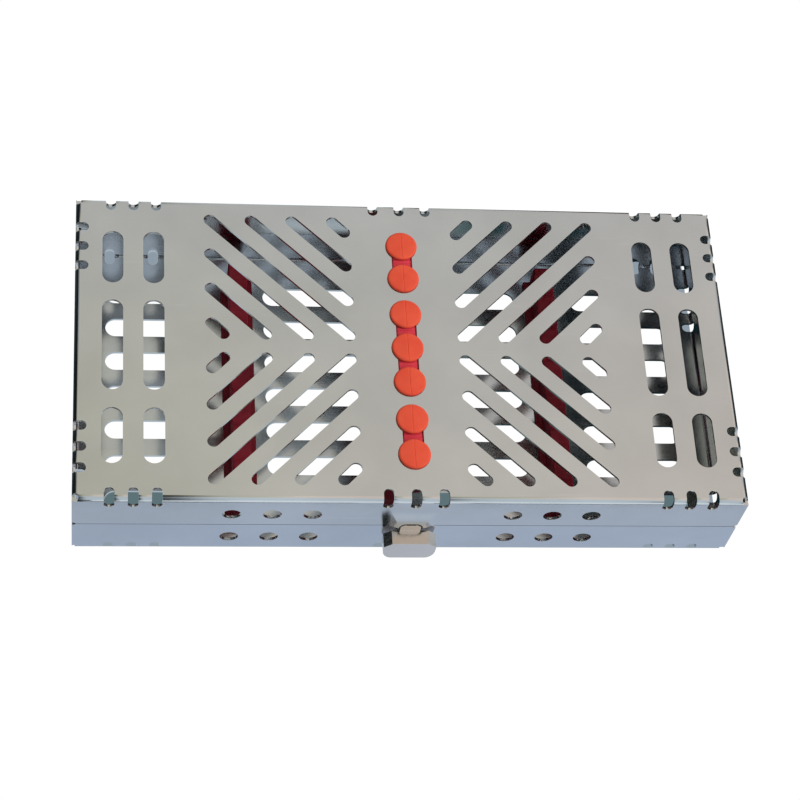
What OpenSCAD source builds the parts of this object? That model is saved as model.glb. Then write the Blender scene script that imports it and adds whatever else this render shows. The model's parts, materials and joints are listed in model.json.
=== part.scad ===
// Perforated steel cassette for dental hand instruments.
// Two shallow sheet pans, hinged at the rear and closed by a push-button latch at the front.
// Silicone rails in the base and a silicone strip in the lid hold seven instruments lying left to right.
//
// Axes: +X to the right, +Y to the rear, +Z up.  The origin is at the centre of the whole part's
// footprint, on the surface that it rests on.  Inside place(), heights are measured from the
// underside of the base tray and Y from the middle of the shell.  Inside at_front(), Y is the
// distance inwards from the outer face of the front wall, and inside at_rear() outwards from the rear wall.

/* [Shell] */
// Length of the shell, left to right
shell_l = 180; // [178:1:190]
// Depth of the shell, front to rear
shell_w = 93; // [92:1:98]
// Height of one half, the base tray or the lid
half_h = 14.5; // [14:0.5:16]
// Thickness of the steel sheet
sheet = 0.8; // [0.7:0.1:0.9]
// Outer radius of the folds between a plate and its walls
bend_r = 1.4; // [1.2:0.1:1.8]
// Gap between the rims of the closed halves
rim_gap = 0.2; // [0.2:0.1:0.5]

/* [Instrument rails] */
// Spacing of the instruments
pitch = 10.9; // [10.5:0.1:11.1]
// Distance of each base rail from the middle
rail_x = 44.3; // [44:0.1:46]
// Length of a rail
rail_l = 78; // [76:1:82]
// Width of the upright web, also of the plugs that pass through the sheet
web_w = 5.3; // [4.8:0.1:5.4]
// Height of a base rail above the floor plate
rail_h = 8.8; // [7:0.1:9.5]
// Depth of the lid strip below the lid plate
strip_h = 9.7; // [8:0.1:10.5]
// Diameter of the round heads outside the sheet
head_d = 8.8; // [8:0.1:9.4]
// Thickness of the round heads
head_t = 1; // [0.8:0.1:1.4]

/* [Perforation] */
// Width of the wide slots
slot_w = 5.7; // [5.6:0.1:6]
// Width of the diagonal slots
diagonal_w = 3.4; // [3:0.1:3.8]
// Diameter of the round holes in the front walls
hole_d = 5; // [4:0.1:5.6]
// Width of the notches over the folds
notch_w = 2.8; // [2.4:0.1:3]

/* [Hinges] */
// Distance of each hinge from the middle
hinge_x = 58.7; // [58:0.1:60]
// Width of a hinge
hinge_w = 13; // [11:0.5:13.5]
// Diameter of a hinge pin
pin_d = 1.6; // [1.4:0.1:1.7]

/* [Latch] */
// Width of the thumb button
button_w = 14.2; // [13:0.2:15]
// How far the button stands out from the front wall
button_out = 5.1; // [4.5:0.1:6]
// Height of the button's top face
button_top = 13.3; // [13:0.1:13.5]
// Depth of the pressed hood above the button
hood_out = 1; // [0.8:0.1:1.2]

/* [Hidden] */
$fn = 48;

steel = [0.69, 0.69, 0.67];
bright_steel = [0.78, 0.79, 0.8];
silicone = [0.93, 0.34, 0.24];

// Running clearance around a pin, and the clearance of a rivet in its hole
pin_play = 0.05;
// How far a cutting solid runs past the faces it cuts
over = 1;

full_h = 2 * half_h;
knuckle_r = pin_d / 2 + sheet;
// Distance of the hinge axis behind the rear wall, which leaves 0.2 between knuckles and walls
hinge_out = knuckle_r + 0.2;
// Moves the shell so that button and hinges reach equally far from the origin
shell_y = (button_out - hinge_out - knuckle_r) / 2;

// Silicone: flange against the sheet, round grooves for the instruments, heads in groups of 2, 3 and 2
flange_w = 9;
flange_t = 1.2;
groove_r = 4.6;
groove_depth = 1.6;
head_pitch = 10.6;
group_y = 27.4;
head_groups = [
    [-group_y - head_pitch / 2, -group_y + head_pitch / 2],
    [-head_pitch, 0, head_pitch],
    [group_y - head_pitch / 2, group_y + head_pitch / 2]
];
// Depth of the necks between the heads below the outer face of the sheet
neck_recess = 0.3;

// Slots of the floor: rows at the instrument pitch, two inner and two outer columns
floor_rows = 3;
floor_cols = [[8.6, 36.7], [53.4, 81.5]];

// End slots of the lid: distances of the two columns from the middle, and [from, to] along Y
end_cols = [68.7, 79.8];
end_slots = [[-35.9, -19.3], [-13.9, 13.9], [19.3, 35.9]];

// Diagonal slots of the lid: each quarter is a field of slots clipped to a rectangle
field_x = [15.8, 53.2];
field_y = [3.7, 40.3];
field_step_x = 11.4;
field_step_y = 11.1;

// Notches over the folds, in threes; the rises are heights up the front wall, the end walls and the rear wall
notch_reach = 3.6;
base_notch_rises = [3.4, 3.4, 3.4];
lid_notch_rises = [4.3, 2.2, 2.7];
notch_step = 6.2;
middle_notch_step = 7.4;
notch_x = 74.2;
notch_y = 31;

// Corners of the pans: a relief hole where two folds meet, and a smaller one at the rim
corner_relief_d = 2;
rim_relief_d = 1.4;

// Round holes in the front walls: in threes, one row in each half, with its height above the half's plate
hole_xs = [26.9, 37.6, 48.3];
base_hole_z = 7.2;
lid_hole_z = 8.4;

// Hinges
leaf_start = knuckle_r + 0.5;
leaf_end = 9.5;
knuckle_gap = 0.25;
middle_knuckle_w = 3.9;
hinge_rivet_x = 3.8;
hinge_rivet_z = 6;
rivet_d = 1.8;

// Latch lever: an upright strip that turns about a pin near the floor
pivot_y = 4.1;
pivot_z = 3.6;
eye_r = 1.7;
lever_w = 5.5;
lever_y = pivot_y - eye_r;
lever_top = 20.3;
// The nose stops this far behind the catch
nose_gap = 0.15;
catch_t = 0.6;
nose_y = sheet + catch_t + nose_gap;
nose_z = 18.6;
button_back = 1;
button_h = 8.4;
button_chamfer = [2.1, 2];
button_corner = [2.6, 4.2];
stem_z = 8;
neck_front = 0.95;
neck_top = 16.1;
button_rivet_z = 10.5;
neck_gap = 0.55;
window_w = lever_w + 2 * neck_gap;
window_z = 7.3;
arch_z = 16.8;
arch_r = 2;

// Hood: pressed outwards from the lid's front wall
hood_w = 14;
hood_flat_w = 5.6;
hood_top = 24.6;
hood_steps = 12;

// Latch bracket and spring
ear_x = 3.3;
bracket_w = 13.2;
bracket_front = 6.2;
bracket_wide = 7.5;
bracket_back = 14;
bracket_rivet_x = 5;
bracket_rivet_y = 10.8;
spring_t = 0.4;
spring_w = 3.2;
// Middle line of the spring blade, [inwards, up]
spring_path = [[9, 1.8], [7.4, 1.9], [6.6, 3], [6.3, 5], [4.1, 8.3]];

// Catch
catch_w = 19;
catch_z = [16.9, 23.2];
catch_window = [6.2, 18.3, 21];

// ---- Placing -------------------------------------------------------------------------------

// From the shell's own axes to the part's origin
module place() {
    translate([0, shell_y, head_t])
        children();
}

module at_front() {
    place()
        translate([0, -shell_w / 2, 0])
            children();
}

module at_rear() {
    place()
        translate([0, shell_w / 2, 0])
            children();
}

// The lid is built upwards from its plate, like the base, and turned over
module turned_over() {
    translate([0, 0, full_h])
        mirror([0, 0, 1])
            children();
}

// ---- Outlines ------------------------------------------------------------------------------

// A slot of width d whose round ends are centred on p and q
module slot(p, q, d) {
    span = q - p;
    translate(p)
        rotate(atan2(span[1], span[0])) {
            circle(d = d);
            translate([norm(span), 0])
                circle(d = d);
            translate([0, -d / 2])
                square([norm(span), d]);
        }
}

// Extrudes an outline drawn in [Y, Z] along X, centred
module along_x(length) {
    rotate([90, 0, 90])
        translate([0, 0, -length / 2])
            linear_extrude(length)
                children();
}

// Extrudes an outline drawn in [X, Z] along Y, from y0 to y1
module along_y(y0, y1) {
    translate([0, y1, 0])
        rotate([90, 0, 0])
            linear_extrude(y1 - y0)
                children();
}

// ---- Pans ----------------------------------------------------------------------------------

// Section of a pan: open and square at the top, round at the lower corners
module pan_section(width, height, radius) {
    translate([-width / 2 + radius, 0])
        square([width - 2 * radius, height]);
    translate([-width / 2, radius])
        square([width, height - radius]);
    for (side = [-1, 1])
        translate([side * (width / 2 - radius), radius])
            circle(radius);
}

module pan_block(length, width, height, radius) {
    intersection() {
        along_x(length)
            pan_section(width, height, radius);
        along_y(-width / 2, width / 2)
            pan_section(length, height, radius);
    }
}

// A folded pan with mitred corners, each with its two relief holes
module pan(notch_rises) {
    rim = half_h - rim_gap / 2;
    difference() {
        pan_block(shell_l, shell_w, rim, bend_r);
        translate([0, 0, sheet])
            pan_block(shell_l - 2 * sheet, shell_w - 2 * sheet, half_h, bend_r - sheet);
        for (x = [-1, 1], y = [-1, 1]) {
            translate([x * (shell_l / 2 - sheet), y * (shell_w / 2 - sheet), -over])
                cylinder(d = corner_relief_d, h = over + bend_r);
            translate([x * shell_l / 2, y * shell_w / 2, rim])
                rotate([0, 90, atan2(y, x)])
                    cylinder(d = rim_relief_d, h = 4 * sheet, center = true);
        }
        fold_notches(notch_rises);
    }
}

// One notch over the fold of the front edge: through the plate, round the fold and up the wall
module fold_notch(rise) {
    translate([0, 0, -over])
        linear_extrude(over + bend_r + 0.1)
            slot([0, -over], [0, notch_reach - notch_w / 2], notch_w);
    along_y(-over, bend_r + 0.1)
        slot([0, -over], [0, rise - notch_w / 2], notch_w);
}

// The notches of all four edges; rises are those of the front, end and rear edges
module fold_notches(rises) {
    for (edge = [0, 1], k = [-1:1]) {
        rotate(180 * edge)
            translate([k * middle_notch_step, -shell_w / 2, 0])
                fold_notch(rises[2 * edge]);
        for (side = [-1, 1]) {
            rotate(180 * edge)
                translate([side * notch_x + k * notch_step, -shell_w / 2, 0])
                    fold_notch(rises[2 * edge]);
            rotate(180 * edge + 90)
                translate([side * notch_y + k * notch_step, -shell_l / 2, 0])
                    fold_notch(rises[1]);
        }
    }
}

// Round holes in the front wall, at height z
module wall_holes(z) {
    for (side = [-1, 1], x = hole_xs)
        translate([side * x, -shell_w / 2, z])
            rotate([90, 0, 0])
                cylinder(d = hole_d, h = 4 * sheet, center = true);
}

// Slots for the plugs of one silicone strip
module plug_slots() {
    for (group = head_groups)
        slot([0, group[0]], [0, group[len(group) - 1]], slot_w);
}

module through_plate() {
    translate([0, 0, -over])
        linear_extrude(sheet + 2 * over)
            children();
}

// Holes in the rear wall for the hinge rivets
module hinge_rivet_holes() {
    for (side = [-1, 1], x = [-1, 1])
        translate([side * hinge_x + x * hinge_rivet_x, shell_w / 2, half_h - hinge_rivet_z])
            rotate([90, 0, 0])
                cylinder(d = rivet_d + 2 * pin_play, h = 4 * sheet, center = true);
}

module base_tray() {
    color(steel)
        place()
            difference() {
                pan(base_notch_rises);
                through_plate() {
                    for (row = [-floor_rows:floor_rows], side = [-1, 1], col = floor_cols)
                        slot([side * (col[0] + slot_w / 2), row * pitch],
                             [side * (col[1] - slot_w / 2), row * pitch], slot_w);
                    for (side = [-1, 1])
                        translate([side * rail_x, 0])
                            plug_slots();
                }
                wall_holes(base_hole_z);
                hinge_rivet_holes();
                for (x = [-1, 1])
                    translate([x * bracket_rivet_x, bracket_rivet_y - shell_w / 2, -over])
                        cylinder(d = rivet_d + 2 * pin_play, h = 2 * over + sheet);
                translate([-window_w / 2, -shell_w / 2 - over, window_z])
                    cube([window_w, 2 * over + sheet, half_h]);
            }
}

// Diagonal slots of one quarter of the lid, from its outer rear corner towards its inner front corner
module diagonal_field() {
    for (k = [-3:3]) {
        right = max(k, 0);
        down = max(-k, 0);
        slot([-field_x[1] + right * field_step_x, field_y[1] - down * field_step_y],
             [-field_x[0] - down * field_step_x, field_y[0] + right * field_step_y], diagonal_w);
    }
}

// Smooth step from 0 to 1
function ease(t) = (1 - cos(180 * min(max(t, 0), 1))) / 2;

// The hood's outline seen from above, moved inwards by y
module hood_plan(y, depth) {
    run = (hood_w - hood_flat_w) / 2;
    right = [for (i = [0:hood_steps])
        [hood_flat_w / 2 + run * i / hood_steps, y - hood_out * (1 - ease(i / hood_steps))]];
    left = [for (i = [hood_steps:-1:0]) [-right[i][0], right[i][1]]];
    polygon(concat(left, right, [[hood_w / 2, y + depth], [-hood_w / 2, y + depth]]));
}

// The hood's outline seen from the side, moved inwards by y
module hood_side(y, depth, rim) {
    rise = hood_top - rim;
    front = [for (i = [0:hood_steps])
        [y - hood_out * ease(i / hood_steps), hood_top - rise * i / hood_steps]];
    polygon(concat([[y + depth, hood_top]], front, [[y + depth, rim]]));
}

module hood_block(y, depth, rim) {
    intersection() {
        translate([0, 0, rim])
            linear_extrude(hood_top - rim)
                hood_plan(y, depth);
        along_x(hood_w)
            hood_side(y, depth, rim);
    }
}

// An upright outline from z0 to z1 with round upper corners, for the button's neck and its cut in the hood
module arch(width, z0, z1, radius) {
    translate([-width / 2, z0])
        square([width, z1 - radius - z0]);
    translate([-width / 2 + radius, z0])
        square([width - 2 * radius, z1 - z0]);
    for (side = [-1, 1])
        translate([side * (width / 2 - radius), z1 - radius])
            circle(radius);
}

module lid_shell() {
    rim = half_h + rim_gap / 2;
    color(steel)
        place()
            difference() {
                union() {
                    turned_over()
                        difference() {
                            pan(lid_notch_rises);
                            through_plate() {
                                for (side = [-1, 1], x = end_cols, span = end_slots)
                                    slot([side * x, span[0] + slot_w / 2],
                                         [side * x, span[1] - slot_w / 2], slot_w);
                                for (x = [0, 1], y = [0, 1])
                                    mirror([x, 0])
                                        mirror([0, y])
                                            diagonal_field();
                                plug_slots();
                            }
                            wall_holes(lid_hole_z);
                            hinge_rivet_holes();
                        }
                    translate([0, -shell_w / 2, 0])
                        hood_block(0, sheet, rim);
                }
                translate([0, -shell_w / 2, 0]) {
                    hood_block(sheet, over, rim - 0.1);
                    along_y(-2 * hood_out, sheet + over)
                        arch(window_w, 0, arch_z, arch_r);
                }
            }
}

// ---- Silicone ------------------------------------------------------------------------------

// A grooved strip standing on the inner face of a sheet at z = 0, with plugs and heads below it
module silicone_strip(height) {
    difference() {
        union() {
            translate([-flange_w / 2, -rail_l / 2, 0])
                cube([flange_w, rail_l, flange_t]);
            translate([-web_w / 2, -rail_l / 2, 0])
                cube([web_w, rail_l, height]);
        }
        for (row = [-floor_rows:floor_rows])
            translate([0, row * pitch, height + groove_r - groove_depth])
                rotate([0, 90, 0])
                    cylinder(r = groove_r, h = web_w + 2 * over, center = true);
    }
    for (group = head_groups) {
        translate([0, 0, neck_recess - sheet])
            linear_extrude(sheet - neck_recess)
                slot([0, group[0]], [0, group[len(group) - 1]], web_w);
        for (y = group) {
            translate([0, y, -sheet])
                cylinder(d = web_w, h = sheet);
            translate([0, y, -sheet - head_t])
                cylinder(d = head_d, h = head_t);
        }
    }
}

module rail(x) {
    color(silicone)
        place()
            translate([x, 0, sheet])
                silicone_strip(rail_h);
}

module left_rail() {
    rail(-rail_x);
}

module right_rail() {
    rail(rail_x);
}

module lid_strip() {
    color(silicone)
        place()
            turned_over()
                translate([0, 0, sheet])
                    silicone_strip(strip_h);
}

// ---- Hinges --------------------------------------------------------------------------------

// One leaf with its knuckles about the axis y = hinge_out, z = 0; the leaf rises along +Z
module hinge_leaf(knuckles) {
    difference() {
        union() {
            translate([-hinge_w / 2, 0, leaf_start])
                cube([hinge_w, sheet, leaf_end - leaf_start]);
            for (span = knuckles) {
                translate([span[0], 0, 0])
                    cube([span[1] - span[0], sheet, leaf_start]);
                translate([span[0], hinge_out, 0])
                    rotate([0, 90, 0])
                        cylinder(r = knuckle_r, h = span[1] - span[0]);
            }
        }
        translate([-hinge_w, hinge_out, 0])
            rotate([0, 90, 0])
                cylinder(d = pin_d + 2 * pin_play, h = 2 * hinge_w);
        for (x = [-1, 1])
            translate([x * hinge_rivet_x, -over, hinge_rivet_z])
                rotate([-90, 0, 0])
                    cylinder(d = rivet_d + 2 * pin_play, h = sheet + 2 * over);
    }
}

module lid_leaf(x) {
    color(bright_steel)
        at_rear()
            translate([x, 0, half_h])
                hinge_leaf([[-middle_knuckle_w / 2, middle_knuckle_w / 2]]);
}

module base_leaf(x) {
    inner = middle_knuckle_w / 2 + knuckle_gap;
    color(bright_steel)
        at_rear()
            translate([x, 0, half_h])
                mirror([0, 0, 1])
                    hinge_leaf([[-hinge_w / 2, -inner], [inner, hinge_w / 2]]);
}

module left_lid_hinge_leaf() {
    lid_leaf(-hinge_x);
}

module right_lid_hinge_leaf() {
    lid_leaf(hinge_x);
}

module left_base_hinge_leaf() {
    base_leaf(-hinge_x);
}

module right_base_hinge_leaf() {
    base_leaf(hinge_x);
}

// A pin along X, centred, with a flat head outside each end of its span
module headed_pin(diameter, span, head_diameter, head) {
    rotate([0, 90, 0]) {
        cylinder(d = diameter, h = span, center = true);
        for (side = [-1, 1])
            translate([0, 0, side * (span + head) / 2])
                cylinder(d = head_diameter, h = head, center = true);
    }
}

module hinge_pin(x) {
    color(bright_steel)
        at_rear()
            translate([x, hinge_out, half_h])
                headed_pin(pin_d, hinge_w, pin_d + 1, 0.5);
}

module left_hinge_pin() {
    hinge_pin(-hinge_x);
}

module right_hinge_pin() {
    hinge_pin(hinge_x);
}

// A rivet along Z: its shank fills z = 0 to grip, with a domed head above and a flat tail below
module rivet(grip) {
    head_h = 0.6;
    head_r = 1.6;
    dome_r = (head_r * head_r + head_h * head_h) / (2 * head_h);
    cylinder(d = rivet_d, h = grip);
    translate([0, 0, -0.5])
        cylinder(r = 1.4, h = 0.5);
    translate([0, 0, grip])
        intersection() {
            translate([0, 0, head_h - dome_r])
                sphere(dome_r);
            cylinder(r = head_r, h = head_h);
        }
}

module hinge_rivets(z) {
    color(bright_steel)
        at_rear()
            for (side = [-1, 1], x = [-1, 1])
                translate([side * hinge_x + x * hinge_rivet_x, -sheet, half_h + z])
                    rotate([-90, 0, 0])
                        rivet(2 * sheet);
}

module base_hinge_rivets() {
    hinge_rivets(-hinge_rivet_z);
}

module lid_hinge_rivets() {
    hinge_rivets(hinge_rivet_z);
}

// ---- Latch ---------------------------------------------------------------------------------

module latch_pin_hole() {
    translate([0, pivot_y, pivot_z])
        rotate([0, 90, 0])
            cylinder(d = pin_d + 2 * pin_play, h = 2 * bracket_w, center = true);
}

module latch_rivet_holes() {
    for (x = [-1, 1])
        translate([x * bracket_rivet_x, bracket_rivet_y, 0])
            cylinder(d = rivet_d + 2 * pin_play, h = pivot_z);
}

// Two ears on a base plate, which stands on the floor
module latch_bracket() {
    ear_r = 1.9;
    color(bright_steel)
        at_front()
            difference() {
                union() {
                    translate([-ear_x - sheet, bracket_front, sheet])
                        cube([2 * (ear_x + sheet), bracket_wide - bracket_front + over, sheet]);
                    translate([-bracket_w / 2, bracket_wide, sheet])
                        cube([bracket_w, bracket_back - bracket_wide, sheet]);
                    for (side = [-1, 1])
                        translate([side * (ear_x + sheet / 2), 0, 0])
                            along_x(sheet) {
                                translate([pivot_y, pivot_z])
                                    circle(ear_r);
                                translate([pivot_y - ear_r, sheet])
                                    square([2 * ear_r, pivot_z - sheet]);
                                translate([pivot_y, sheet])
                                    square([bracket_wide - pivot_y, sheet]);
                            }
                }
                latch_pin_hole();
                latch_rivet_holes();
            }
}

module latch_pin() {
    color(bright_steel)
        at_front()
            translate([0, pivot_y, pivot_z])
                headed_pin(pin_d, 2 * (ear_x + sheet), pin_d + 0.8, 0.4);
}

// A leaf spring: its foot lies on the bracket and its blade bends up behind the lever
module latch_spring() {
    color(bright_steel)
        at_front()
            difference() {
                union() {
                    translate([-bracket_w / 2, bracket_wide + over, 2 * sheet])
                        cube([bracket_w, bracket_back - bracket_wide - over, spring_t]);
                    along_x(spring_w)
                        for (i = [1:len(spring_path) - 1])
                            slot(spring_path[i - 1], spring_path[i], spring_t);
                }
                latch_rivet_holes();
            }
}

module latch_rivets() {
    color(bright_steel)
        at_front()
            for (x = [-1, 1])
                translate([x * bracket_rivet_x, bracket_rivet_y, 0])
                    rivet(2 * sheet + spring_t);
}

// The lever: an eye about the pin, an upright strip and a nose at its top that faces forwards
module latch_lever() {
    back = lever_y + sheet;
    color(bright_steel)
        at_front()
            difference() {
                union() {
                    along_x(lever_w)
                        polygon([
                            [lever_y, pivot_z], [lever_y, nose_z], [nose_y, nose_z], [nose_y, nose_z + 0.7],
                            [lever_y, lever_top], [back, lever_top], [back, pivot_z]
                        ]);
                    translate([0, pivot_y, pivot_z])
                        rotate([0, 90, 0])
                            cylinder(r = eye_r, h = lever_w, center = true);
                }
                latch_pin_hole();
                translate([0, 0, button_rivet_z])
                    rotate([-90, 0, 0])
                        cylinder(d = rivet_d + 2 * pin_play, h = pivot_y);
            }
}

// The button's outline seen from the front: chamfered at the top, with long round corners below
module button_outline() {
    half = button_w / 2;
    bottom = button_top - button_h;
    right = concat(
        [[half - button_chamfer[0], button_top], [half, button_top - button_chamfer[1]]],
        [for (a = [0:10:90])
            [half - button_corner[0] * (1 - cos(a)), bottom + button_corner[1] * (1 - sin(a))]]
    );
    left = [for (i = [len(right) - 1:-1:0]) [-right[i][0], right[i][1]]];
    polygon(concat(right, left));
}

// The thumb button: a block outside the wall, a stem through the window and a neck up into the arch
module thumb_button() {
    stem_end = 0.3;
    color(bright_steel)
        at_front()
            difference() {
                union() {
                    along_y(-button_out, -button_back)
                        button_outline();
                    translate([-lever_w / 2, -button_back - over, stem_z])
                        cube([lever_w, button_back + over + lever_y, button_top - stem_z]);
                    along_y(-neck_front, stem_end)
                        arch(lever_w, stem_z, neck_top, arch_r - neck_gap);
                }
                translate([0, -stem_end, button_rivet_z])
                    rotate([-90, 0, 0])
                        cylinder(d = rivet_d + 2 * pin_play, h = pivot_y);
            }
}

module button_rivet() {
    color(bright_steel)
        at_front()
            translate([0, 0, button_rivet_z])
                rotate([-90, 0, 0]) {
                    cylinder(d = rivet_d, h = lever_y + sheet);
                    translate([0, 0, lever_y + sheet])
                        cylinder(r = 1.6, h = 0.5);
                }
}

// A plate behind the hood, with a window for the lever's nose
module lid_catch() {
    color(bright_steel)
        at_front()
            along_y(sheet, sheet + catch_t)
                difference() {
                    translate([-catch_w / 2, catch_z[0]])
                        square([catch_w, catch_z[1] - catch_z[0]]);
                    translate([-catch_window[0] / 2, catch_window[1]])
                        square([catch_window[0], catch_window[2] - catch_window[1]]);
                }
}

base_tray();
left_rail();
right_rail();
left_base_hinge_leaf();
right_base_hinge_leaf();
left_hinge_pin();
right_hinge_pin();
base_hinge_rivets();
latch_bracket();
latch_pin();
latch_spring();
latch_rivets();
lid_shell();
lid_strip();
left_lid_hinge_leaf();
right_lid_hinge_leaf();
lid_hinge_rivets();
lid_catch();
latch_lever();
thumb_button();
button_rivet();
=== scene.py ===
"""Looks of a perforated steel instrument cassette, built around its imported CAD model.

The steel parts keep their CAD shapes, with rounded sheet edges and satin finishes. The silicone rails
and the lid's silicone strip are replaced by moulded forms. Lengths are in metres, in the CAD's frame.
"""

import json
from math import cos, pi, radians, sin, sqrt

import bmesh
import bpy
from mathutils import Matrix, Quaternion, Vector

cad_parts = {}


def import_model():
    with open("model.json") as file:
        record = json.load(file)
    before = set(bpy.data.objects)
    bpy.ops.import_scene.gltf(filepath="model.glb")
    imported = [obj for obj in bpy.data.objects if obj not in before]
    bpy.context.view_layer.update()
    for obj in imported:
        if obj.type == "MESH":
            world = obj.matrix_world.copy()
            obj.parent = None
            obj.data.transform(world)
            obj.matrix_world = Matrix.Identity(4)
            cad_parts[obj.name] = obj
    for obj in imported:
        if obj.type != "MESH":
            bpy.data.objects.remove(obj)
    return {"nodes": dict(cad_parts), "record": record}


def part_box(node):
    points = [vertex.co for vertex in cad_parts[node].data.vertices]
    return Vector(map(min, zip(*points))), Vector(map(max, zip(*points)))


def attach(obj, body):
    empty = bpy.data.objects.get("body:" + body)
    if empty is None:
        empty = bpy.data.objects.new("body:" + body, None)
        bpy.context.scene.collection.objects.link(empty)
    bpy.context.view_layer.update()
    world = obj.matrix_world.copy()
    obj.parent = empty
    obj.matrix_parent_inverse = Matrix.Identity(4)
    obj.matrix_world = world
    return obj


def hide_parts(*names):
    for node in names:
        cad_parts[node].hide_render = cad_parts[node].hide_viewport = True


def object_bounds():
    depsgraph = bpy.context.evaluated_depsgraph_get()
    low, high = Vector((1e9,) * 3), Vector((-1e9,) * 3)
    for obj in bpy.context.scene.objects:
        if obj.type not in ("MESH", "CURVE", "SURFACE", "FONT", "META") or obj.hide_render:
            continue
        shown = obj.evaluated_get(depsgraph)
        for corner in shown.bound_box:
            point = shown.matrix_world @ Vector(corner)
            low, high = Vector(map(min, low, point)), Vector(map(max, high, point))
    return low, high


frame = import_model()
cad_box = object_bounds()

MM = 0.001

# ---- Silicone dimensions, as in the CAD model -------------------------------------------------

FLANGE_W = 9.0 * MM
FLANGE_T = 1.2 * MM
WEB_W = 5.3 * MM
SHEET = 0.8 * MM
PITCH = 10.9 * MM
ROWS = range(-3, 4)
GROOVE_R = 4.6 * MM
GROOVE_DEPTH = 1.6 * MM
HEAD_R = 4.4 * MM
HEAD_T = 1.0 * MM
HEAD_PITCH = 10.6 * MM
GROUP_Y = 27.4 * MM
NECK_RECESS = 0.3 * MM
HEAD_GROUPS = [
    [-GROUP_Y - HEAD_PITCH / 2, -GROUP_Y + HEAD_PITCH / 2],
    [-HEAD_PITCH, 0, HEAD_PITCH],
    [GROUP_Y - HEAD_PITCH / 2, GROUP_Y + HEAD_PITCH / 2],
]


# ---- Small mesh helpers -----------------------------------------------------------------------

def new_object(name, bm):
    """A mesh object from bm, which is freed."""
    mesh = bpy.data.meshes.new(name)
    bm.to_mesh(mesh)
    bm.free()
    obj = bpy.data.objects.new(name, mesh)
    bpy.context.scene.collection.objects.link(obj)
    return obj


def rounded(corners, steps=4):
    """A closed outline from (x, z, radius) corners, each rounded by an arc between its two edges."""
    points = []
    count = len(corners)
    for i, (x, z, radius) in enumerate(corners):
        here = Vector((x, z))
        before = (Vector(corners[i - 1][:2]) - here).normalized()
        after = (Vector(corners[(i + 1) % count][:2]) - here).normalized()
        half_angle = before.angle(after) / 2
        reach = radius / max(0.01, abs(sin(half_angle) / cos(half_angle)))
        centre = here + (before + after).normalized() * (radius / sin(half_angle))
        start = here + before * reach - centre
        end = here + after * reach - centre
        for k in range(steps + 1):
            t = k / steps
            arm = (start * (1 - t) + end * t).normalized() * radius
            points.append(centre + arm)
    return points


def loft(bm, sections):
    """A closed skin through sections, which are lists of as many points each, with flat ends."""
    rings = [[bm.verts.new(p) for p in section] for section in sections]
    for a, b in zip(rings, rings[1:]):
        for i in range(len(a)):
            j = (i + 1) % len(a)
            bm.faces.new((a[i], a[j], b[j], b[i]))
    bm.faces.new(list(reversed(rings[0])))
    bm.faces.new(rings[-1])


def lathe(bm, profile, centre, segments=64):
    """A closed solid of revolution about Z from a profile of (radius, z) that starts and ends on the axis."""
    turn = 2 * pi / segments

    def ring(r, z):
        if r == 0:
            return [bm.verts.new(centre + Vector((0, 0, z)))]
        return [bm.verts.new(centre + Vector((r * cos(k * turn), r * sin(k * turn), z)))
                for k in range(segments)]

    rings = [ring(r, z) for r, z in profile]
    for a, b in zip(rings, rings[1:]):
        for k in range(segments):
            quad = (a[k % len(a)], a[(k + 1) % len(a)], b[(k + 1) % len(b)], b[k % len(b)])
            bm.faces.new(list(dict.fromkeys(quad)))


def union(obj, *others):
    """Joins the solids of others into obj and removes them."""
    for other in others:
        modifier = obj.modifiers.new("union", "BOOLEAN")
        modifier.operation = "UNION"
        modifier.solver = "EXACT"
        modifier.object = other
    depsgraph = bpy.context.evaluated_depsgraph_get()
    mesh = bpy.data.meshes.new_from_object(obj.evaluated_get(depsgraph))
    obj.modifiers.clear()
    obj.data = mesh
    for other in others:
        bpy.data.objects.remove(other)


# ---- Silicone pieces --------------------------------------------------------------------------
# They are built with their inner side up: the sheet's inner face is z = 0 and the heads are below it.

def groove_top(y, height):
    """Height of a strip's top edge at y, with a round groove for each instrument and softened lips."""
    softness = 0.35 * MM
    top = height
    for row in ROWS:
        across = abs(y - row * PITCH)
        if across < GROOVE_R:
            bottom = height - GROOVE_DEPTH + GROOVE_R - sqrt(GROOVE_R ** 2 - across ** 2)
            near = max(softness - abs(top - bottom), 0) / softness
            top = min(top, bottom) - near ** 2 * softness / 4
    return top


def strip_section(y, height, inset):
    """The strip's section at y, an upright web on a flange, taken in by inset."""
    flange = FLANGE_W / 2 - inset
    web = WEB_W / 2 - inset
    top = groove_top(y, height) - inset
    low = FLANGE_T - inset
    foot_r, flange_r, root_r, lip_r = 0.1 * MM, 0.35 * MM, 0.5 * MM, 0.55 * MM
    corners = [
        (-flange, 0, foot_r), (flange, 0, foot_r), (flange, low, flange_r), (web, low, root_r),
        (web, top, lip_r), (-web, top, lip_r), (-web, low, root_r), (-flange, low, flange_r),
    ]
    return [Vector((p[0], y, p[1])) for p in rounded(corners)]


def strip_body(name, length, height):
    """Flange and grooved web, with softly rounded ends."""
    step = 0.4 * MM
    end_r = 0.6 * MM
    end_steps = 5
    straight = length / 2 - end_r
    count = round(2 * straight / step)
    stations = [(-straight + 2 * straight * k / count, 0) for k in range(count + 1)]
    turn = [pi / 2 * k / end_steps for k in range(1, end_steps + 1)]
    ends = [(straight + end_r * sin(a), end_r * (1 - cos(a))) for a in turn]
    stations = [(-y, inset) for y, inset in reversed(ends)] + stations + ends
    bm = bmesh.new()
    loft(bm, [strip_section(y, height, inset) for y, inset in stations])
    bmesh.ops.recalc_face_normals(bm, faces=bm.faces)
    return new_object(name, bm)


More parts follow.
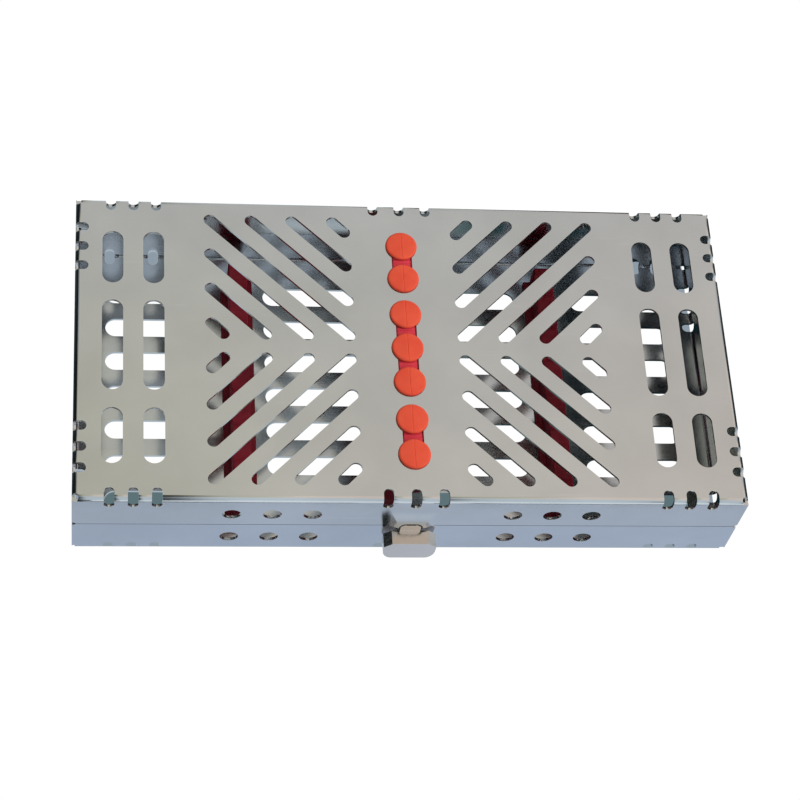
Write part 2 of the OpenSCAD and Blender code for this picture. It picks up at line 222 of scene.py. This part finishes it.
def strip_necks(name):
    """The bars that fill the sheet's slots between the heads of a group, with shallow cross ribs."""
    half = WEB_W / 2 - 0.08 * MM
    rib_pitch = 1.1 * MM
    rib_depth = 0.14 * MM
    steps_per_rib = 8
    inside_flange = 0.5 * MM
    low_r, high_r = 0.25 * MM, 0.05 * MM
    bm = bmesh.new()
    for group in HEAD_GROUPS:
        first, last = group[0], group[-1]
        count = round((last - first) / (rib_pitch / steps_per_rib))
        sections = []
        for k in range(count + 1):
            y = first + (last - first) * k / count
            wave = (1 + cos(2 * pi * (y - first) / rib_pitch)) / 2
            low = NECK_RECESS - SHEET + rib_depth * wave
            corners = [(-half, low, low_r), (half, low, low_r),
                       (half, inside_flange, high_r), (-half, inside_flange, high_r)]
            sections.append([Vector((p[0], y, p[1])) for p in rounded(corners, 3)])
        loft(bm, sections)
    bmesh.ops.recalc_face_normals(bm, faces=bm.faces)
    return new_object(name, bm)


def head_profile():
    """Profile of one plug and head, from inside the flange down to the crown."""
    plug_top = 0.6 * MM
    rim_r = 0.65 * MM
    back_r = 0.15 * MM
    crown = 0.12 * MM
    crown_steps = 8
    back = -SHEET
    face = -SHEET - HEAD_T
    flat = HEAD_R - rim_r
    turn = [pi / 12 * k for k in range(7)]
    inner = [(HEAD_R - back_r + back_r * sin(a), back - back_r * (1 - cos(a))) for a in turn]
    outer = [(HEAD_R - rim_r + rim_r * cos(a), face + crown + rim_r - rim_r * sin(a)) for a in turn]
    shares = [k / crown_steps for k in range(crown_steps - 1, 0, -1)]
    dome = [(flat * share, face + crown * share ** 2) for share in shares]
    return [(0, plug_top), (WEB_W / 2, plug_top), (WEB_W / 2, back)] + inner + outer + dome + [(0, face)]


def seam_heads(bm):
    """Presses a fine parting seam into the heads, along Y, and slopes the crowns gently away from it."""
    groove_half = 0.14 * MM
    groove_deep = 0.1 * MM
    slope = 0.028
    for x in (-groove_half, 0, groove_half):
        bmesh.ops.bisect_plane(bm, geom=bm.verts[:] + bm.edges[:] + bm.faces[:],
                               plane_co=(x, 0, 0), plane_no=(1, 0, 0), dist=1e-7)
    fade_from = -SHEET - 0.5 * HEAD_T
    fade_over = 0.3 * HEAD_T
    face = -SHEET - HEAD_T
    for vert in bm.verts:
        share = min(1, max(0, (fade_from - vert.co.z) / fade_over))
        if share > 0:
            lift = slope * abs(vert.co.x)
            if abs(vert.co.x) < groove_half / 2:
                lift += groove_deep
            vert.co.z = max(vert.co.z + share * lift, face)


def strip_heads(name):
    """All heads with their plugs."""
    bm = bmesh.new()
    for group in HEAD_GROUPS:
        for y in group:
            lathe(bm, head_profile(), Vector((0, y, 0)))
    seam_heads(bm)
    bmesh.ops.recalc_face_normals(bm, faces=bm.faces)
    return new_object(name, bm)


def silicone_strip(name, node, body, turned):
    """A moulded strip in the place of a CAD node. turned puts its heads on top."""
    low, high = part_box(node)
    height = high.z - low.z - SHEET - HEAD_T
    obj = strip_body(name, high.y - low.y, height)
    necks = strip_necks(name + "_necks")
    heads = strip_heads(name + "_heads")
    # The strip's body and necks take a painted shade, darker for the rails inside the box, and the heads take
    # the bright silicone colour.
    shades = ["silicone_painted_recess_shade" if turned else "silicone_shaded", "silicone_bright"]
    for part in (obj, necks, heads):
        for shade in shades:
            part.data.materials.append(silicone_material(shade))
        for face in part.data.polygons:
            face.material_index = 1 if part is heads else 0
    union(obj, necks, heads)
    middle = (low + high) / 2
    sheet_z = high.z - SHEET - HEAD_T if turned else low.z + SHEET + HEAD_T
    place = Matrix.Translation((middle.x, middle.y, sheet_z))
    if turned:
        place = place @ Matrix.Rotation(pi, 4, "Y")
    obj.data.transform(place)
    obj.data.shade_smooth()
    obj.data.set_sharp_from_angle(angle=radians(38))
    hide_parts(node)
    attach(obj, body)
    return obj


# ---- Node graphs ------------------------------------------------------------------------------

class Graph:
    """A node tree, with short calls for the nodes used here."""

    def __init__(self, tree):
        self.tree = tree

    def node(self, kind, inputs=None, **settings):
        """A new node. An input is a socket to link, or a plain value."""
        made = self.tree.nodes.new(kind)
        for key, value in settings.items():
            setattr(made, key, value)
        for key, value in (inputs or {}).items():
            if isinstance(value, bpy.types.NodeSocket):
                self.tree.links.new(value, made.inputs[key])
            else:
                made.inputs[key].default_value = value
        return made

    def link(self, socket, target):
        self.tree.links.new(socket, target)

    def place(self, scale=(1, 1, 1), turn=(0, 0, 0)):
        """Coordinates on the object, scaled and turned."""
        coordinates = self.node("ShaderNodeTexCoord").outputs["Object"]
        mapping = self.node("ShaderNodeMapping", {"Vector": coordinates, "Scale": scale, "Rotation": turn})
        return mapping.outputs["Vector"]

    def axes(self, kind):
        """X, Y and Z of the texture coordinates of a kind."""
        coordinates = self.node("ShaderNodeTexCoord").outputs[kind]
        return self.node("ShaderNodeSeparateXYZ", {0: coordinates}).outputs

    def noise(self, place, scale, detail=3.0, rough=0.5):
        made = self.node("ShaderNodeTexNoise",
                         {"Vector": place, "Scale": scale, "Detail": detail, "Roughness": rough})
        return made.outputs["Fac"]

    def span(self, value, low, high, to_low, to_high):
        """value from low..high mapped to to_low..to_high, clamped."""
        made = self.node("ShaderNodeMapRange", {"Value": value, "From Min": low, "From Max": high,
                                                "To Min": to_low, "To Max": to_high})
        return made.outputs["Result"]

    def smooth(self, value, low, high):
        """0 below low and 1 above high, or the reverse where low is above high, with a soft step."""
        made = self.node("ShaderNodeMapRange", {"Value": value, "From Min": low, "From Max": high,
                                                "To Min": 0, "To Max": 1}, interpolation_type="SMOOTHSTEP")
        return made.outputs["Result"]

    def math(self, operation, a, b):
        return self.node("ShaderNodeMath", {0: a, 1: b}, operation=operation).outputs[0]

    def mix(self, share, a, b):
        """Colour a turning into b as share goes from 0 to 1."""
        return self.node("ShaderNodeMix", {0: share, 6: a, 7: b}, data_type="RGBA").outputs[2]

    def ramp(self, value, stops):
        """Colour of value, from smooth stops of (position, colour)."""
        made = self.node("ShaderNodeValToRGB", {"Fac": value})
        made.color_ramp.interpolation = "EASE"
        elements = made.color_ramp.elements
        for element, (position, colour) in zip(elements, (stops[0], stops[-1])):
            element.position = position
            element.color = colour
        for position, colour in stops[1:-1]:
            elements.new(position).color = colour
        return made.outputs["Color"]

    def bump(self, height, distance, strength=1.0, below=None):
        inputs = {"Height": height, "Distance": distance, "Strength": strength}
        if below is not None:
            inputs["Normal"] = below
        return self.node("ShaderNodeBump", inputs).outputs["Normal"]


def rgb(r, g, b):
    return (r, g, b, 1.0)


def scaled(colour, factor):
    return rgb(*[min(1, c * factor) for c in colour])


def new_material(name):
    """A material, its graph and its shader."""
    material = bpy.data.materials.new(name)
    material.use_nodes = True
    return material, Graph(material.node_tree), material.node_tree.nodes["Principled BSDF"]


# ---- Steel ------------------------------------------------------------------------------------

def steel(name, colour, roughness, grain=(1.0, 22.0, 22.0)):
    """Satin stainless sheet: rolling grain, faint cloudy stains, hairline scratches and polished edges."""
    lighter, darker, polished = 1.05, 0.93, 1.16
    edge_share, scratch_share = 0.6, 0.2
    grain_rough, smudge_rough, edge_polish, least_rough = 0.03, 0.07, 0.05, 0.04
    grain_depth, scratch_depth = 0.004 * MM, -0.3

    material, g, shader = new_material(name)
    shader.inputs["Metallic"].default_value = 1.0
    grain_noise = g.noise(g.place(grain), 260, 4.0, 0.6)
    cloud = g.noise(g.place(), 38, 3.0, 0.55)
    smudge = g.noise(g.place((1, 1.6, 1)), 95, 4.0, 0.6)
    scratch = scratches(g)
    edge = edge_mask(g)

    tint = g.mix(g.span(cloud, 0.3, 0.7, 0, 1), scaled(colour, darker), scaled(colour, lighter))
    tint = g.mix(g.math("MULTIPLY", edge, edge_share), tint, scaled(colour, polished))
    tint = g.mix(g.math("MULTIPLY", scratch, scratch_share), tint, scaled(colour, polished))
    g.link(tint, shader.inputs["Base Color"])

    rough = g.math("ADD", g.span(grain_noise, 0.25, 0.75, roughness - grain_rough, roughness + grain_rough),
                   g.span(smudge, 0.4, 0.75, 0, smudge_rough))
    rough = g.math("SUBTRACT", rough, g.math("MULTIPLY", edge, edge_polish))
    g.link(g.math("MAXIMUM", rough, least_rough), shader.inputs["Roughness"])

    height = g.math("ADD", grain_noise, g.math("MULTIPLY", scratch, scratch_depth))
    g.link(g.bump(height, grain_depth, 0.35), shader.inputs["Normal"])
    return material


def scratches(g):
    """1 on sparse hairlines that run at slight angles to the length."""
    along, across = 0.35, 14
    line_from, line_full = 0.70, 0.74
    patch_from, patch_full = 0.5, 0.62
    total = None
    for turn, stretch in ((0.12, 60), (-0.3, 45)):
        place = g.place((stretch * along, stretch * across, stretch * across), (0, 0, turn))
        lines = g.noise(place, 1.0, 1.0, 0.4)
        patch = g.noise(g.place((1, 1, 1), (0, 0, turn)), 120, 2.0, 0.5)
        line = g.math("MULTIPLY", g.span(lines, line_from, line_full, 0, 1),
                      g.span(patch, patch_from, patch_full, 0, 1))
        total = line if total is None else g.math("MAXIMUM", total, line)
    return total


def edge_mask(g):
    """1 where handling has polished the sheet's edges, found by how far a rounded normal leans away."""
    flat_cosine, edge_cosine = 0.98, 0.75
    soft = g.node("ShaderNodeBevel", {"Radius": 0.35 * MM}, samples=3).outputs["Normal"]
    flat = g.node("ShaderNodeNewGeometry").outputs["Normal"]
    along = g.node("ShaderNodeVectorMath", {0: soft, 1: flat}, operation="DOT_PRODUCT").outputs["Value"]
    return g.span(along, flat_cosine, edge_cosine, 0, 1)


def dress_steel():
    """Gives each steel node its finish and rounds the cut edges of its sheet."""
    grain_up, grain_even, grain_button = (22.0, 22.0, 1.0), (4, 4, 4), (3, 30, 3)
    edge_r = 0.1 * MM
    finishes = {
        "lid_steel": steel("lid_sheet", (0.63, 0.625, 0.61), 0.14),
        "tray_steel": steel("tray_sheet", (0.61, 0.62, 0.635), 0.12),
        "hinge_steel": steel("hinge_strip", (0.63, 0.63, 0.63), 0.24),
        "pin_steel": steel("pin_wire", (0.68, 0.68, 0.69), 0.16),
        "rivet_steel": steel("rivet_metal", (0.68, 0.68, 0.68), 0.18, grain_even),
        "latch_steel": steel("latch_strip", (0.56, 0.60, 0.62), 0.2, grain_up),
        "spring_steel": steel("spring_strip", (0.52, 0.53, 0.56), 0.2),
        # The button's warm tan tint is a painted reflection of warm surroundings.
        "button_steel": steel("button_block_painted_warm_reflection", (0.77, 0.68, 0.60), 0.2, grain_button),
    }
    slots = {part["node"]: part["material_slot"] for part in frame["record"]["subparts"]}
    for name, node in frame["nodes"].items():
        finish = finishes.get(slots[name])
        if finish is None:
            continue
        for slot in node.material_slots:
            slot.link = "OBJECT"
            slot.material = finish
        round_edges(node, edge_r)


def round_edges(node, width):
    """Takes the sharpness off the edges, with modifiers only."""
    weld = node.modifiers.new("weld", "WELD")
    weld.merge_threshold = 0.001 * MM
    bevel = node.modifiers.new("edge", "BEVEL")
    bevel.width = width
    bevel.segments = 2
    bevel.limit_method = "ANGLE"
    bevel.angle_limit = radians(40)
    bevel.use_clamp_overlap = True
    bevel.harden_normals = True


# ---- Silicone ---------------------------------------------------------------------------------

# Darker and lighter colour of each shade. The rails inside the box take a painted shade and the lid strip
# below its heads a lighter painted shade; all heads take the bright silicone colour.
SILICONE_SHADES = {
    "silicone_shaded": ((0.33, 0.016, 0.034), (0.42, 0.026, 0.048)),
    "silicone_painted_recess_shade": ((0.62, 0.032, 0.055), (0.74, 0.048, 0.075)),
    "silicone_bright": ((0.86, 0.082, 0.036), (0.93, 0.115, 0.052)),
}
SILICONE_DUST = rgb(0.95, 0.36, 0.26)


def silicone_material(name):
    """Matte moulded silicone with a fine powdery grain and slight staining, made once for each shade, two of
    which are painted shade.
    """
    found = bpy.data.materials.get(name)
    if found:
        return found
    dark, light = SILICONE_SHADES[name]
    material, g, shader = new_material(name)
    cloud = g.noise(g.place(), 160, 3.0, 0.5)
    grain = g.noise(g.place(), 5200, 2.0, 0.5)
    dust = g.noise(g.place(), 900, 4.0, 0.65)
    colour = g.mix(g.span(cloud, 0.3, 0.7, 0, 1), rgb(*dark), rgb(*light))
    colour = g.mix(g.span(dust, 0.6, 0.8, 0, 0.12), colour, SILICONE_DUST)
    g.link(colour, shader.inputs["Base Color"])
    g.link(g.span(dust, 0.3, 0.7, 0.5, 0.62), shader.inputs["Roughness"])
    shader.inputs["Specular IOR Level"].default_value = 0.35
    shader.inputs["Subsurface Weight"].default_value = 0.12
    shader.inputs["Subsurface Radius"].default_value = (1.0, 0.25, 0.12)
    shader.inputs["Subsurface Scale"].default_value = 0.8 * MM
    fine = g.bump(grain, 0.01 * MM, 0.5)
    g.link(g.bump(cloud, 0.05 * MM, 0.3, fine), shader.inputs["Normal"])
    return material


# ---- Floor ------------------------------------------------------------------------------------

SHELL_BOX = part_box("base_tray")
SHELL_MIDDLE = (SHELL_BOX[0] + SHELL_BOX[1]) / 2
SHELL_HALF = (SHELL_BOX[1] - SHELL_BOX[0]) / 2

FLOOR_REACH = 3.0

# Heights of the floor's sheets, which lie just under each other
SHADOW_Z = 0.0
WHITE_Z = -0.05 * MM
BAND_Z = -0.08 * MM
BOUNCE_Z = -0.1 * MM

# What the camera sees
FLOOR_WHITE = 1.02
FLOOR_SHADOW = rgb(0.27, 0.33, 0.39)
FLOOR_DEEP_SHADOW = rgb(0.11, 0.17, 0.185)

# What the steel sees: near the shell, away in front, left of the shell, and under it from left to right
TABLE_NEAR = rgb(0.50, 0.59, 0.735)
TABLE_FRONT = rgb(0.86, 0.97, 1.08)
TABLE_LEFT = rgb(0.025, 0.04, 0.045)
TABLE_UNDER = [
    (0.0, rgb(0.62, 0.72, 0.80)), (0.45, rgb(0.50, 0.60, 0.66)), (0.62, rgb(0.20, 0.28, 0.30)),
    (0.78, rgb(0.02, 0.06, 0.07)), (1.0, rgb(0.005, 0.02, 0.025)),
]
TABLE_BAND = rgb(0.01, 0.03, 0.035)


def stage_sheet(name, corners, z, material, hole=None):
    """A flat stage piece from corners (x, y), with an optional hole of as many corners."""
    bm = bmesh.new()
    outer = [bm.verts.new((x, y, z)) for x, y in corners]
    if hole is None:
        bm.faces.new(outer)
    else:
        inner = [bm.verts.new((x, y, z)) for x, y in hole]
        for i in range(len(outer)):
            j = (i + 1) % len(outer)
            bm.faces.new((outer[i], outer[j], inner[j], inner[i]))
    obj = new_object(name, bm)
    obj.data.materials.append(material)
    return obj


def rectangle(middle, half_x, half_y):
    """Corners about middle, anticlockwise from the front left."""
    return [(middle.x + a * half_x, middle.y + b * half_y) for a, b in ((-1, -1), (1, -1), (1, 1), (-1, 1))]


def only_for_camera(obj):
    for ray in ("visible_diffuse", "visible_glossy", "visible_transmission", "visible_shadow"):
        setattr(obj, ray, False)


def glow_from_above(name, colour, strength=1.0):
    """Plain light of one colour, clear when seen from below."""
    material, g, _ = new_material(name)
    g.tree.nodes.clear()
    glow = g.node("ShaderNodeEmission", {"Color": colour, "Strength": strength}).outputs[0]
    clear = g.node("ShaderNodeBsdfTransparent").outputs[0]
    side = g.node("ShaderNodeNewGeometry").outputs["Backfacing"]
    both = g.node("ShaderNodeMixShader", {0: side, 1: glow, 2: clear}).outputs[0]
    g.node("ShaderNodeOutputMaterial", {0: both})
    return material


def table_glow():
    """The light that the steel gets from the table.

    It is cool near the shell, brighter away in front, dark on the left and graded under the shell.
    """
    bright_from, bright_full = 16 * MM, 30 * MM
    dark_from, dark_full = 1 * MM, 8 * MM
    under_fade = 3 * MM
    material, g, _ = new_material("table_light")
    g.tree.nodes.clear()
    x, y, _ = g.axes("Object")
    left, front = SHELL_BOX[0].x, SHELL_BOX[0].y
    right = SHELL_BOX[1].x
    away = g.smooth(y, front - bright_from, front - bright_full)
    colour = g.ramp(away, [(0.0, TABLE_NEAR), (1.0, TABLE_FRONT)])
    under = g.ramp(g.smooth(x, left, right), TABLE_UNDER)
    colour = g.mix(g.smooth(y, front, front + under_fade), colour, under)
    colour = g.mix(g.smooth(x, left - dark_from, left - dark_full), colour, TABLE_LEFT)
    glow = g.node("ShaderNodeEmission", {"Color": colour}).outputs[0]
    g.node("ShaderNodeOutputMaterial", {0: glow})
    return material


def matte(name, colour):
    material, _, shader = new_material(name)
    shader.inputs["Base Color"].default_value = colour
    shader.inputs["Roughness"].default_value = 0.9
    shader.inputs["Specular IOR Level"].default_value = 0
    return material


def floor_shadow():
    """A soft shadow along the walls and a deeper one behind the front wall, for the camera only."""
    inset = 0.8 * MM
    width = 8 * MM
    rear_reach = 3.5 * MM
    deep_end = 19 * MM
    outer = rectangle(SHELL_MIDDLE, SHELL_HALF.x - inset, SHELL_HALF.y - inset)
    outer[2:] = [(x, y + rear_reach) for x, y in outer[2:]]
    inner = rectangle(SHELL_MIDDLE, SHELL_HALF.x - width, SHELL_HALF.y - width)
    ring_glow = glow_from_above("floor_shadow", FLOOR_SHADOW)
    only_for_camera(stage_sheet("floor_shade", outer, SHADOW_Z, ring_glow, inner))

    middle = Vector((SHELL_MIDDLE.x, SHELL_BOX[0].y + (width + deep_end) / 2))
    corners = rectangle(middle, SHELL_HALF.x - width, (deep_end - width) / 2)
    deep_glow = glow_from_above("floor_deep_shadow", FLOOR_DEEP_SHADOW)
    only_for_camera(stage_sheet("floor_shade_front", corners, SHADOW_Z, deep_glow))


def floor_bands():
    """Dark tapering bands in front, which draw the thin line under the light of the lid's front fold."""
    front = SHELL_BOX[0].y
    dark = matte("floor_dark", TABLE_BAND)
    bands = {
        "floor_band_left": [(-400, -33), (-4, -25), (-4, -17), (-400, -17)],
        "floor_band_right": [(14, -24), (400, -19), (400, -17), (14, -17)],
    }
    for name, corners in bands.items():
        band = stage_sheet(name, [(x * MM, front + y * MM) for x, y in corners], BAND_Z, dark)
        band.visible_camera = False


def floor():
    """The camera sees a white floor with a soft shadow. The steel sees a cool one, which lights it."""
    whole = rectangle(Vector((0, 0)), FLOOR_REACH, FLOOR_REACH)
    white = glow_from_above("floor_white", rgb(1, 1, 1), FLOOR_WHITE)
    only_for_camera(stage_sheet("floor", whole, WHITE_Z, white))
    floor_shadow()
    bounce = stage_sheet("floor_bounce", whole, BOUNCE_Z, table_glow())
    bounce.visible_camera = False
    floor_bands()


# ---- Light and camera -------------------------------------------------------------------------

# Brightness of the surroundings: the ceiling from left to right, and what lies over it
CEILING = [
    (0.0, rgb(0.60, 0.60, 0.50)), (0.5, rgb(0.65, 0.65, 0.555)), (0.58, rgb(0.70, 0.69, 0.655)),
    (0.7, rgb(0.74, 0.67, 0.64)), (1.0, rgb(0.60, 0.58, 0.56)),
]
COOL_REAR = rgb(0.62, 0.64, 0.66)
WARM_TOP = rgb(0.86, 0.78, 0.72)
COOL_FRONT = rgb(0.66, 0.77, 0.87)
LOW_RIGHT = rgb(0.04, 0.06, 0.07)
DARK_LEFT = rgb(0.01, 0.016, 0.018)


def world():
    """Soft surroundings: an even ceiling, a bright cool front, a dark left and a dark low right."""
    made = bpy.data.worlds.new("studio")
    made.use_nodes = True
    g = Graph(made.node_tree)
    # The parts of a direction's unit vector, each from -1 to 1: to the right, to the rear and up
    x, y, z = g.axes("Generated")
    colour = g.ramp(g.span(x, -1, 1, 0, 1), CEILING)
    layers = [
        (g.math("MULTIPLY", g.smooth(y, 0.46, 0.6), g.smooth(z, 0.2, 0.5)), COOL_REAR),
        (g.math("MULTIPLY", g.smooth(y, 0.5, 0.3), g.smooth(x, 0.0, 0.2)), WARM_TOP),
        (g.math("MULTIPLY", g.smooth(y, -0.2, -0.45), g.smooth(z, 0.97, 0.88)), COOL_FRONT),
        (g.math("MULTIPLY", g.smooth(x, 0.5, 0.8), g.smooth(z, 0.6, 0.3)), LOW_RIGHT),
        (g.smooth(x, -0.15, -0.5), DARK_LEFT),
    ]
    for share, over in layers:
        colour = g.mix(share, colour, over)
    g.link(colour, made.node_tree.nodes["Background"].inputs["Color"])
    bpy.context.scene.world = made


def key_light():
    """A soft key from the right that models the silicone. The steel only mirrors its surroundings."""
    size = 0.5
    distance = 1.2
    radiance = 9.5
    data = bpy.data.lights.new("key", "AREA")
    data.shape = "SQUARE"
    data.size = size
    data.energy = radiance * pi * size * size
    data.color = (1.0, 0.97, 0.95)
    light = bpy.data.objects.new("key", data)
    light.location = Vector((0.7, -0.15, 0.7)).normalized() * distance
    light.rotation_mode = "QUATERNION"
    light.rotation_quaternion = (-light.location).to_track_quat("-Z", "Y")
    light.visible_glossy = False
    bpy.context.scene.collection.objects.link(light)


def camera():
    """The camera looks down at the front from a little to the left, rolled so that the rear edge is level."""
    elevation, heading, roll = radians(60.1), radians(15.72), radians(14.38)
    distance = 631 * MM
    aim_x, aim_y, aim_over_middle = -0.8 * MM, -7.6 * MM, 0.5 * MM
    low, high = cad_box
    aim = Vector((aim_x, aim_y, (low.z + high.z) / 2 + aim_over_middle))
    forward = Vector((sin(heading) * cos(elevation), cos(heading) * cos(elevation), -sin(elevation)))
    data = bpy.data.cameras.new("camera")
    data.sensor_width = 36
    data.lens = 102.9
    obj = bpy.data.objects.new("camera", data)
    obj.location = aim - forward * distance
    obj.rotation_mode = "QUATERNION"
    obj.rotation_quaternion = forward.to_track_quat("-Z", "Y") @ Quaternion((0, 0, 1), roll)
    bpy.context.scene.collection.objects.link(obj)
    bpy.context.scene.camera = obj


# ---- Scene ------------------------------------------------------------------------------------

camera()
world()
key_light()
floor()
bpy.context.scene.view_settings.view_transform = "Standard"

dress_steel()
silicone_strip("left_rail_moulded", "left_rail", "base", False)
silicone_strip("right_rail_moulded", "right_rail", "base", False)
silicone_strip("lid_strip_moulded", "lid_strip", "lid", True)
